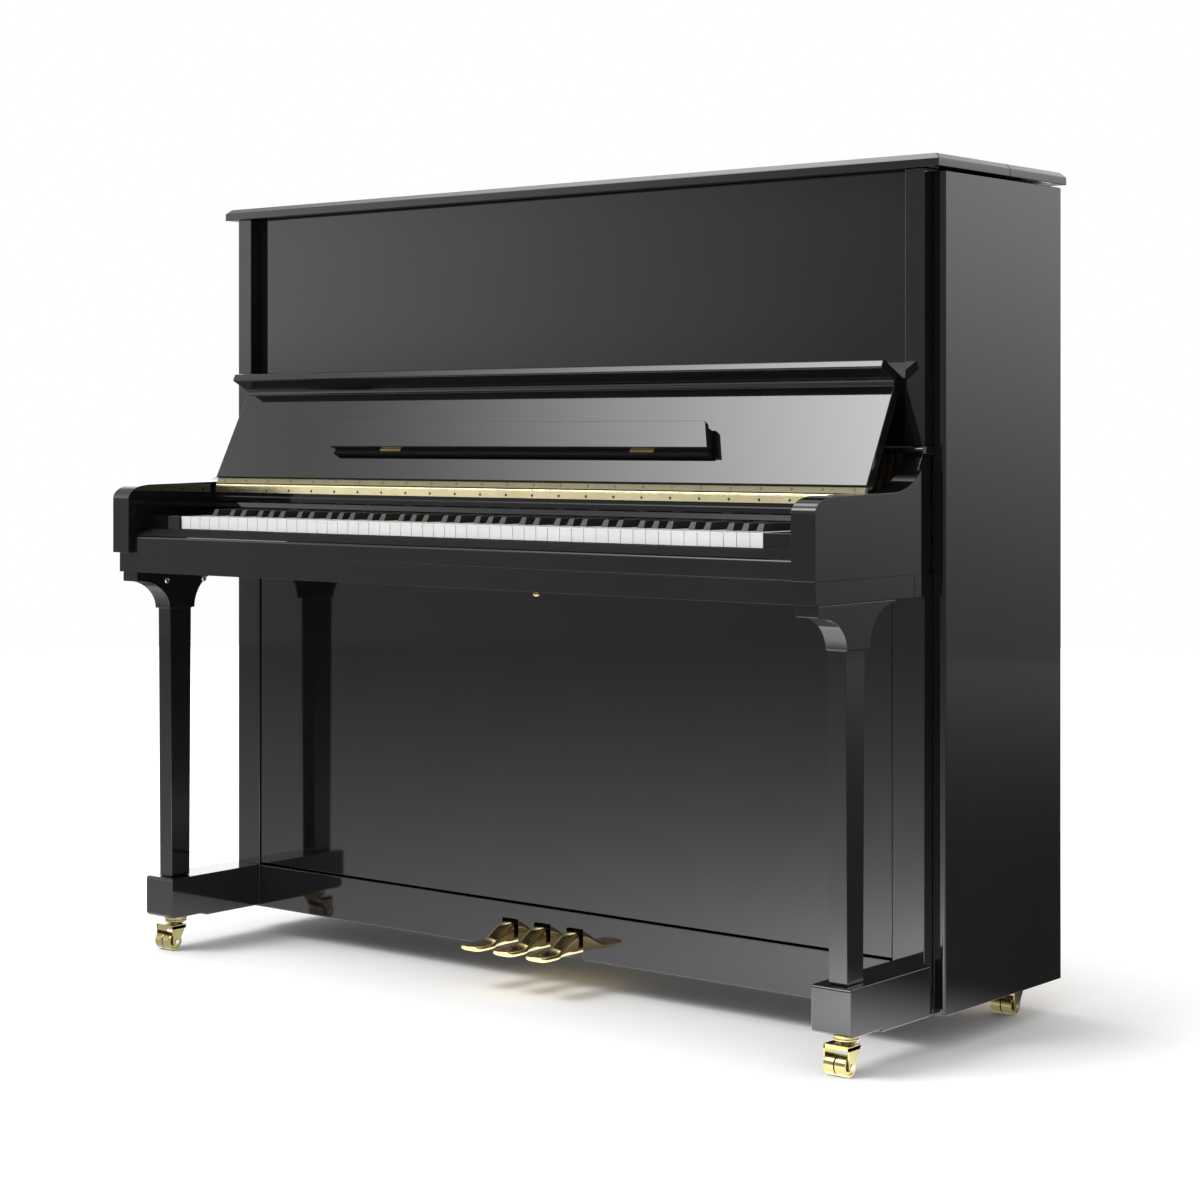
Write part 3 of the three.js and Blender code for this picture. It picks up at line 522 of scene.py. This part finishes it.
# ---- case ---------------------------------------------------------------------------------
SIDES = (("right", 1), ("left", -1))
for side, sign in SIDES:
    dressed("side_panel_" + side, 1.2 * MM, LACQUER, 3)
    dressed("upper_post_" + side, 1.2 * MM, LACQUER, 3)
    dressed("lower_stile_" + side, 1.2 * MM, LACQUER, 3)
    dressed("key_block_" + side, 1.0 * MM, LACQUER)
    dressed("arm_" + side, 2.5 * MM, LACQUER, 4)
    dressed("leg_" + side, 2.0 * MM, LACQUER, 3)
    dressed("toe_block_" + side, 1.6 * MM, LACQUER, 3)
for node, width in (
    ("upper_panel", 0.8),
    ("kick_rail", 1.5),
    ("bottom_board", 1.0),
    ("top_shelf", 1.2),
    ("lid_front", 1.0),
    ("lid_rear", 1.0),
    ("keybed", 1.5),
    ("key_slip", 1.5),
    ("hinge_rail", 0.5),
    ("fallboard", 1.3),
):
    dressed(node, width * MM, LACQUER, 3)


# The lower panel comes down to a narrow joint over the kick rail.
JOINT_CLOSED = 2.6 * MM
bm = cad_mesh("lower_panel")
for vert in bm.verts:
    if vert.co.z < lo("lower_panel")[2] + 1 * MM:
        vert.co.z -= JOINT_CLOSED
bevel_sharp(bm, 1.2 * MM, 3)
piece("lower_panel_skin", bm, BODY_OF["lower_panel"], LACQUER, ("lower_panel",))
# The music ledge is matte black with almost no shine, so it stays as dark as the shade under the flap:
# painted shade.
dressed("music_ledge", 1.6 * MM, MATTE_BLACK, 3)

# Only the flap's front is polished; its edges, ends and back are satin black, which paints a dark line along
# its top edge: painted shade.
flap = dressed("music_ledge_flap", 1.0 * MM, LACQUER, 3)
flap.data.materials.append(SATIN_BLACK)
for face in flap.data.polygons:
    face.material_index = 0 if face.normal.y < -0.8 else 1

# A thin matte black strip on the key slip's sloping top, which keeps that band dark.
SLIP_LOW, SLIP_HIGH = lo("key_slip"), hi("key_slip")
slope = Vector((0, SLIP_HIGH[1] - SLIP_LOW[1] - 1.5 * MM, 13.5 * MM))
rise = Vector((0, -slope.z, slope.y)).normalized() * 0.35 * MM
foot = Vector((0, SLIP_LOW[1] + 1.5 * MM, SLIP_HIGH[2] - 13.5 * MM))
strip = [foot + slope * 0.10, foot + slope * 0.93]
strip += [strip[1] + rise, strip[0] + rise]
bm = bmesh.new()
add_prism(bm, [(p.y, p.z) for p in strip], 0, SLIP_LOW[0] + 2 * MM, SLIP_HIGH[0] - 2 * MM)
piece("key_slip_dark_strip", bm, BODY_OF["key_slip"], MATTE_BLACK, smooth=False)

# Two screws in each leg bracket's inner face, and a small knob under the keybed.
BRACKET_SCREWS_Y = (-245.7 * MM, -160.2 * MM)
BRACKET_SCREW_DROP = 17.5 * MM
KNOB_AT = (198 * MM, -290 * MM)
bm = bmesh.new()
for side, sign in SIDES:
    face = lo("leg_right")[0] if sign > 0 else hi("leg_left")[0]
    top = hi("leg_" + side)[2]
    for y in BRACKET_SCREWS_Y:
        spot = (face, y, top - BRACKET_SCREW_DROP)
        add_stud(bm, spot, (-sign, 0, 0), screw_profile(5.2 * MM, 1.2 * MM), 20)
piece("bracket_screws", bm, BODY_OF["leg_left"], STEEL)
bm = bmesh.new()
knob = [(0, 3.4), (2.5, 3.4), (3.0, 5.2), (4.2, 6.2), (6.6, 6.2), (8.0, 5.0), (8.6, 2.6)]
under = lo("keybed")[2]
add_stud(bm, (*KNOB_AT, under), (0, 0, -1), [(h * MM, r * MM) for h, r in knob], 24)
piece("keybed_knob", bm, BODY_OF["keybed"], BRASS)


# ---- back, sounding parts and action ------------------------------------------------------
dressed("back_frame", 1.5 * MM, BEECH)
dressed("soundboard", 1.0 * MM, SPRUCE)
dressed("pin_block", 1.0 * MM, BEECH_ACROSS)
dressed("iron_plate", 2.5 * MM, GILT)
dressed("key_frame", 0.8 * MM, BEECH_ACROSS)
for side in ("left", "middle", "right"):
    dressed("trap_rod_" + side, 0.8 * MM, BEECH_ACROSS)
NOTES = 88
BASS_NOTES = 28
DAMPED_NOTES = 70
NOTE_LEFT = lo("hammers")[0]
NOTE_PITCH = (hi("hammers")[0] - NOTE_LEFT) / NOTES


def note_x(index):
    return NOTE_LEFT + (index + 0.5) * NOTE_PITCH


def build_strings():
    low, high = lo("strings"), hi("strings")
    y = low[1] + 0.9 * MM
    wires, bass, pins = bmesh.new(), bmesh.new(), bmesh.new()
    for note in range(NOTES):
        wound = note < BASS_NOTES
        spread = (-1.9, 1.9) if wound else (-2.6, 0.0, 2.6)
        radius = (1.5 - note * 0.025 if wound else 0.55) * MM
        for k, shift in enumerate(spread):
            x = note_x(note) + shift * MM
            add_rod(wires, (x, y, low[2]), (x, y, high[2] - 8 * MM), 0.5 * MM, 5)
            if wound:
                add_rod(bass, (x, y, low[2] + 48 * MM), (x, y, high[2] - 84 * MM), radius, 8)
            z = high[2] - (12 + 14 * k + 3 * (note % 2)) * MM
            add_rod(pins, (x, y - 9 * MM, z), (x, y + 10 * MM, z), 1.7 * MM, 8)
    body = BODY_OF["strings"]
    piece("string_wires", wires, body, STEEL, ("strings",))
    piece("bass_windings", bass, body, COPPER)
    piece("tuning_pins", pins, body, STEEL)
    bars = bmesh.new()
    for z in (high[2] - 70 * MM, low[2] + 20 * MM):
        add_box(bars, (low[0], y + 0.5 * MM, z), (hi("strings")[0], y + 9.5 * MM, z + 12 * MM))
    bevel_sharp(bars, 1.5 * MM, 2)
    piece("string_bars", bars, body, GILT)
    felt = bmesh.new()
    z = high[2] - 56 * MM
    add_box(felt, (low[0], y + 0.8 * MM, z), (hi("strings")[0], y + 9.5 * MM, z + 16 * MM))
    bevel_sharp(felt, 1.0 * MM, 2)
    piece("string_felt", felt, body, RED_FELT)


def build_hammers():
    y, z = lo("hammers")[1] + 9 * MM, lo("hammers")[2] + 7 * MM
    rail, shanks, heads, felts = bmesh.new(), bmesh.new(), bmesh.new(), bmesh.new()
    add_box(rail, (NOTE_LEFT, y - 9 * MM, z - 7 * MM), (hi("hammers")[0], y + 9 * MM, z + 5 * MM))
    bevel_sharp(rail, 1.5 * MM, 2)
    nose = [(34, 114), (38, 111), (50, 110.5), (58, 112), (61.5, 116), (62, 119), (61.5, 122), (58, 126)]
    nose += [(50, 127.5), (38, 127), (34, 124)]
    for note in range(NOTES):
        x = note_x(note)
        add_rod(shanks, (x, y, z + 4 * MM), (x, y + 44 * MM, z + 122 * MM), 2.4 * MM, 8)
        add_box(shanks, (x - 3.6 * MM, y - 5 * MM, z + 3 * MM), (x + 3.6 * MM, y + 5 * MM, z + 16 * MM))
        add_box(heads, (x - 3.4 * MM, y + 34 * MM, z + 115 * MM), (x + 3.4 * MM, y + 50 * MM, z + 123 * MM))
        add_prism(felts, [(y + a * MM, z + b * MM) for a, b in nose], 0, x - 4.4 * MM, x + 4.4 * MM)
    bevel_sharp(felts, 0.9 * MM, 2)
    body = BODY_OF["hammers"]
    piece("hammer_rail", rail, body, BEECH_ACROSS, ("hammers",))
    piece("hammer_shanks", shanks, body, BEECH)
    piece("hammer_cores", heads, body, BEECH)
    piece("hammer_felts", felts, body, FELT)


def build_dampers():
    low, high = lo("dampers"), hi("dampers")
    y, z = low[1] + 4 * MM, low[2] + 6 * MM
    rail, wires, heads, felts = bmesh.new(), bmesh.new(), bmesh.new(), bmesh.new()
    add_box(rail, (low[0], y - 4 * MM, z - 6 * MM), (high[0], y + 4 * MM, z + 6 * MM))
    bevel_sharp(rail, 1.2 * MM, 2)
    for note in range(DAMPED_NOTES):
        x = note_x(note)
        add_rod(wires, (x, y, z + 4 * MM), (x, y, z + 150 * MM), 1.0 * MM, 6)
        add_box(heads, (x - 4.6 * MM, y - 2 * MM, z + 144 * MM), (x + 4.6 * MM, y + 7 * MM, z + 168 * MM))
        add_box(felts, (x - 4.6 * MM, y + 7 * MM, z + 141 * MM), (x + 4.6 * MM, high[1], z + 171 * MM))
    bevel_sharp(heads, 0.8 * MM, 2)
    bevel_sharp(felts, 0.8 * MM, 2)
    body = BODY_OF["dampers"]
    piece("damper_rail", rail, body, BEECH_ACROSS, ("dampers",))
    piece("damper_wires", wires, body, STEEL)
    piece("damper_heads", heads, body, SATIN_BLACK)
    piece("damper_felts", felts, body, FELT)


build_strings()
build_hammers()
build_dampers()


# ---- keys ---------------------------------------------------------------------------------
WHITES = 52
OCTAVE_STARTS = (0, 9, 16, 23, 30, 37, 44, WHITES)
BLACK_AFTER = {0: -2.2, 1: 2.2, 3: -3.0, 4: 0.0, 5: 3.0}  # white key before it: its lean in mm
FIRST_C = 2
KEY_GAP = 1.0 * MM
KEY_LEFT = lo("keys_group_1")[0] - KEY_GAP / 2
KEY_RIGHT = hi("keys_group_7")[0] + KEY_GAP / 2
WHITE_PITCH = (KEY_RIGHT - KEY_LEFT) / WHITES
KEY_FRONT = lo("keys_group_1")[1]
KEY_REAR = hi("keys_group_1")[1]
KEY_LOW = lo("keys_group_1")[2] + 2 * MM
KEY_TOP = KEY_LOW + 21 * MM
BLACK_TOP = hi("keys_group_1")[2]
HEAD = 50 * MM
COVER_END = 149 * MM
BLACK_HALF = 6.85 * MM
SLOT_HALF = BLACK_HALF + 1 * MM
COVER = 2.6 * MM


def white_x(index):
    return KEY_LEFT + index * WHITE_PITCH


def black_centre(index):
    """The middle of the black key above white key index, or None."""
    step = (index - FIRST_C) % 7
    if step not in BLACK_AFTER or index < 0 or index >= WHITES - 1:
        return None
    return white_x(index + 1) + BLACK_AFTER[step] * MM


def add_white_cover(bm, index):
    """One key's covering: a plate with a notch for each black key and a turned-down front."""
    x0 = white_x(index) + KEY_GAP / 2
    x1 = white_x(index + 1) - KEY_GAP / 2
    left = black_centre(index - 1)
    right = black_centre(index)
    tail0 = x0 if left is None else left + SLOT_HALF
    tail1 = x1 if right is None else right - SLOT_HALF
    neck = KEY_FRONT + HEAD
    end = KEY_FRONT + COVER_END
    outline = [(x0, KEY_FRONT), (x1, KEY_FRONT), (x1, neck)]
    if tail1 != x1:
        outline.append((tail1, neck))
    outline += [(tail1, end), (tail0, end)]
    if tail0 != x0:
        outline.append((tail0, neck))
    outline.append((x0, neck))
    add_prism(bm, outline, 2, KEY_TOP - COVER, KEY_TOP)
    add_box(bm, (x0, KEY_FRONT + 0.4 * MM, KEY_LOW), (x1, KEY_FRONT + 1.4 * MM, KEY_TOP - COVER + 0.4 * MM))


def add_stick(bm, index):
    x0 = white_x(index) + 2.4 * KEY_GAP
    x1 = white_x(index + 1) - 2.4 * KEY_GAP
    left = black_centre(index - 1)
    right = black_centre(index)
    tail0 = x0 if left is None else left + SLOT_HALF + 0.2 * MM
    tail1 = x1 if right is None else right - SLOT_HALF - 0.2 * MM
    neck = KEY_FRONT + HEAD
    top = KEY_TOP - COVER - 0.1 * MM
    add_box(bm, (x0, KEY_FRONT + 1.6 * MM, KEY_LOW), (x1, neck - 0.5 * MM, top))
    add_box(bm, (tail0, neck - 1 * MM, KEY_LOW), (tail1, KEY_REAR, top))


def add_black_key(bm, centre):
    """A sharp with leaning sides and a sloping front."""
    foot = KEY_FRONT + HEAD + 1 * MM
    end = KEY_FRONT + 145 * MM
    low = KEY_TOP - 3 * MM
    corners = []
    for half, front, rear, z in (
        (BLACK_HALF - 0.3 * MM, foot, end, low),
        (BLACK_HALF - 0.6 * MM, foot + 0.3 * MM, end, KEY_TOP),
        (BLACK_HALF - 2.3 * MM, foot + 7.0 * MM, end, BLACK_TOP - 0.2 * MM),
    ):
        corners.append(
            [
                (centre - half, front, z),
                (centre + half, front, z),
                (centre + half, rear, z),
                (centre - half, rear, z),
            ]
        )
    add_loft(bm, corners)


for group in range(7):
    first, last = OCTAVE_STARTS[group], OCTAVE_STARTS[group + 1]
    label = str(group + 1)
    node = "keys_group_" + label
    covers, sticks, blacks = bmesh.new(), bmesh.new(), bmesh.new()
    for index in range(first, last):
        add_white_cover(covers, index)
        add_stick(sticks, index)
        centre = black_centre(index)
        if centre is not None:
            add_black_key(blacks, centre)
            add_box(
                sticks,
                (centre - 5.5 * MM, KEY_FRONT + HEAD + 3 * MM, KEY_LOW),
                (centre + 5.5 * MM, KEY_REAR, KEY_TOP - 3.2 * MM),
            )
    bevel_sharp(covers, 0.55 * MM, 2)
    bevel_sharp(blacks, 1.1 * MM, 3, angle=40)
    balance = KEY_FRONT + 225 * MM
    add_box(
        sticks,
        (white_x(first) + KEY_GAP / 2, balance - 9 * MM, KEY_LOW - 2 * MM),
        (white_x(last) - KEY_GAP / 2, balance + 9 * MM, KEY_LOW + 3 * MM),
    )
    piece("white_keys_" + label, covers, node, IVORY, (node,))
    piece("key_sticks_" + label, sticks, node, BEECH, smooth=False)
    if len(blacks.verts):
        piece("black_keys_" + label, blacks, node, EBONY)
    else:
        blacks.free()


# ---- pedals -------------------------------------------------------------------------------
# From the toe to the tail: depth behind the toe, half width, underside, top, squareness (mm).
PEDAL_SECTIONS = (
    (0.0, 10.0, 65.8, 69.0, 2.2),
    (0.6, 14.5, 64.4, 70.2, 2.4),
    (2.0, 18.0, 63.2, 71.0, 2.6),
    (5.0, 20.6, 62.3, 71.5, 3.0),
    (10.0, 21.8, 62.0, 71.6, 3.4),
    (20.0, 22.0, 62.0, 71.6, 3.6),
    (34.0, 22.0, 62.0, 71.8, 3.6),
    (42.0, 20.4, 62.0, 72.6, 3.4),
    (49.0, 17.0, 62.0, 74.2, 3.2),
    (56.0, 14.2, 62.0, 77.4, 3.2),
    (64.0, 13.3, 62.0, 82.0, 3.2),
    (72.0, 13.2, 62.0, 87.4, 3.4),
    (80.0, 13.2, 62.0, 92.4, 3.6),
    (88.0, 13.2, 62.0, 95.8, 3.8),
    (95.0, 13.2, 62.0, 97.0, 4.0),
    (101.0, 13.2, 62.0, 96.6, 4.0),
    (214.0, 13.2, 62.2, 84.0, 4.0),
)
for side in ("left", "middle", "right"):
    node = "pedal_" + side
    bm = bmesh.new()
    centre = middle(node, 0)
    toe = lo(node)[1]
    rings = [
        rounded_ring(centre, half * MM, low * MM, high * MM, toe + depth * MM, power)
        for depth, half, low, high, power in PEDAL_SECTIONS
    ]
    add_loft(bm, rings)
    piece(node + "_brass", bm, node, BRASS, (node,))


# ---- casters ------------------------------------------------------------------------------
WHEEL = 15 * MM
for place in ("front_left", "front_right", "rear_left", "rear_right"):
    fork, wheels = "caster_fork_" + place, "caster_wheels_" + place
    x = middle(fork, 0)
    top = hi(fork)[2]
    axle_y = middle(wheels, 1)
    stem_y = axle_y + 17 * MM
    half = (hi(fork)[0] - lo(fork)[0]) / 2
    hood_low, hood_top = 2 * WHEEL + 7 * MM, 2 * WHEEL + 13.5 * MM
    front, rear = axle_y - 8 * MM, axle_y + 22 * MM
    bm = bmesh.new()
    add_turned(
        bm,
        (x, stem_y, 0),
        2,
        [
            (hood_top - 3 * MM, 12 * MM),
            (hood_top + 2.5 * MM, 12 * MM),
            (hood_top + 3 * MM, 17.5 * MM),
            (hood_top + 4.5 * MM, 19 * MM),
            (hood_top + 6.5 * MM, 19 * MM),
            (hood_top + 7.6 * MM, 17.8 * MM),
            (hood_top + 8.6 * MM, 17.8 * MM),
            (hood_top + 9.4 * MM, 20 * MM),
            (top - 2 * MM, 20 * MM),
            (top, 19.4 * MM),
        ],
        40,
    )
    piece("caster_flange_" + place, bm, fork, CASTER_BRASS_SHADED)
    bm = bmesh.new()
    add_box(bm, (x - half, front, hood_low), (x + half, rear, hood_top))
    bevel_sharp(bm, 1.2 * MM, 3)
    cheek = [
        (front, hood_top - 1.2 * MM),
        (front, WHEEL - 1 * MM),
        *arc((axle_y, WHEEL), (8 * MM, 8 * MM), math.radians(187), math.radians(353), 10),
        (axle_y + 9 * MM, WHEEL + 5 * MM),
        (rear, hood_top - 1.2 * MM),
    ]
    cheeks = bmesh.new()
    add_prism(cheeks, cheek, 0, x - half, x - half + 2.4 * MM)
    add_prism(cheeks, cheek, 0, x + half - 2.4 * MM, x + half)
    bevel_sharp(cheeks, 0.6 * MM, 2)
    other = bpy.data.meshes.new("cheeks")
    cheeks.to_mesh(other)
    cheeks.free()
    bm.from_mesh(other)
    bpy.data.meshes.remove(other)
    piece("caster_hood_" + place, bm, fork, CASTER_BRASS_SHADED, (fork,))
    bm = bmesh.new()
    for sign in (-1, 1):
        inner = 0.75 * MM
        width = 18 * MM
        profile = [
            (inner, 9 * MM),
            (inner, WHEEL - 1.0 * MM),
            (inner + 0.4 * MM, WHEEL - 0.3 * MM),
            (inner + 1.2 * MM, WHEEL),
            (inner + width - 1.6 * MM, WHEEL),
            (inner + width - 0.5 * MM, WHEEL - 0.5 * MM),
            (inner + width, WHEEL - 1.6 * MM),
            (inner + width, WHEEL - 3.2 * MM),
            (inner + width - 1.2 * MM, WHEEL - 4.2 * MM),
            (inner + width - 1.2 * MM, 5 * MM),
        ]
        add_turned(bm, (x, axle_y, WHEEL), 0, [(sign * a, r) for a, r in profile], 48)
    piece("caster_rollers_" + place, bm, wheels, CASTER_BRASS_SHADED, (wheels,))
    bm = bmesh.new()
    reach = half + 1.5 * MM
    nut = [(half, 4.0 * MM), (reach, 3.6 * MM), (reach, 2.5 * MM)]
    nut = [(-a, r) for a, r in reversed(nut)] + nut
    add_turned(bm, (x, axle_y, WHEEL), 0, nut, 20)
    piece("caster_axle_" + place, bm, wheels, STEEL)


# ---- hinges -------------------------------------------------------------------------------
dressed("lid_hinge", 0.3 * MM, BRASS)
HINGE = "fallboard_hinge_fixed_leaf"
PIN_Y = lo(HINGE)[1] + 3 * MM
PIN_Z = hi(HINGE)[2] - 2.8 * MM
HINGE_LEFT, HINGE_RIGHT = lo(HINGE)[0], hi(HINGE)[0]
LEAN = math.radians(27)
LEAF_TALL = 12 * MM
LEAF_THICK = 1.2 * MM
KNUCKLES = 37
SCREW_PITCH = 55.6 * MM
SCREW = screw_profile(2.3 * MM, 0.5 * MM)
FLAP_HINGES_X = (-295 * MM, 243 * MM)
FLAP_HINGE_WIDE = 47 * MM


def on_board(x, a, n):
    """A point a up the open fallboard from its pin and n in front of it, in mm."""
    y = PIN_Y + (a * math.sin(LEAN) - n * math.cos(LEAN)) * MM
    return (x, y, PIN_Z + (a * math.cos(LEAN) + n * math.sin(LEAN)) * MM)


def build_fallboard_hinge():
    fixed, moving, barrels = bmesh.new(), bmesh.new(), bmesh.new()
    front = PIN_Y - 3 * MM
    add_box(fixed, (HINGE_LEFT, front, PIN_Z - LEAF_TALL), (HINGE_RIGHT, front + LEAF_THICK, PIN_Z - 1 * MM))
    outline = [on_board(0, a, n)[1:] for a, n in ((3.2, 1.8), (13.5, 1.8), (13.5, 3.0), (3.2, 3.0))]
    add_prism(moving, outline, 0, HINGE_LEFT, HINGE_RIGHT)
    bevel_sharp(fixed, 0.3 * MM, 2)
    bevel_sharp(moving, 0.3 * MM, 2)
    step = (HINGE_RIGHT - HINGE_LEFT) / KNUCKLES
    for k in range(KNUCKLES):
        start = HINGE_LEFT + k * step + 0.2 * MM
        end = HINGE_LEFT + (k + 1) * step - 0.2 * MM
        edge = 0.3 * MM
        barrel = [(start, 2.4), (start + edge, 2.8), (end - edge, 2.8), (end, 2.4)]
        leaf = fixed if k % 2 == 0 else barrels
        add_turned(leaf, (0, PIN_Y, PIN_Z), 0, [(x, r * MM) for x, r in barrel], 20)
    piece("fallboard_hinge_fixed", fixed, BODY_OF[HINGE], BRASS_PALE, (HINGE,))
    node = "fallboard_hinge_moving_leaf"
    piece("fallboard_hinge_moving", moving, BODY_OF[node], LEAF_OLIVE_SHADED, (node,))
    piece("fallboard_hinge_knuckles", barrels, BODY_OF[node], BRASS_PALE)
    low, high = bmesh.new(), bmesh.new()
    out = Vector(on_board(0, 0, 1)) - Vector(on_board(0, 0, 0))
    for k in range(-12, 13):
        x = k * SCREW_PITCH
        add_stud(low, (x, front, PIN_Z - 7.4 * MM), (0, -1, 0), SCREW)
        add_stud(high, on_board(x, 8.6, 3.0), out, SCREW)
    piece("fallboard_hinge_screws_low", low, BODY_OF[HINGE], SCREW_DARK)
    piece("fallboard_hinge_screws_high", high, BODY_OF[node], SCREW_DARK)


def build_flap_hinges():
    """Two thin plates with their pins, between the ledge and its flap."""
    bm = bmesh.new()
    plate = ((60.4, 17.2), (63.2, 17.2), (63.2, 18.2), (60.4, 18.2))
    outline = [on_board(0, a, n)[1:] for a, n in plate]
    pin = on_board(0, 63.3, 17.75)
    for x in FLAP_HINGES_X:
        add_prism(bm, outline, 0, x, x + FLAP_HINGE_WIDE)
        add_turned(bm, pin, 0, [(x, 0.6 * MM), (x + FLAP_HINGE_WIDE, 0.6 * MM)], 10)
    piece("flap_hinges", bm, BODY_OF["music_ledge"], BRASS)


build_fallboard_hinge()
build_flap_hinges()
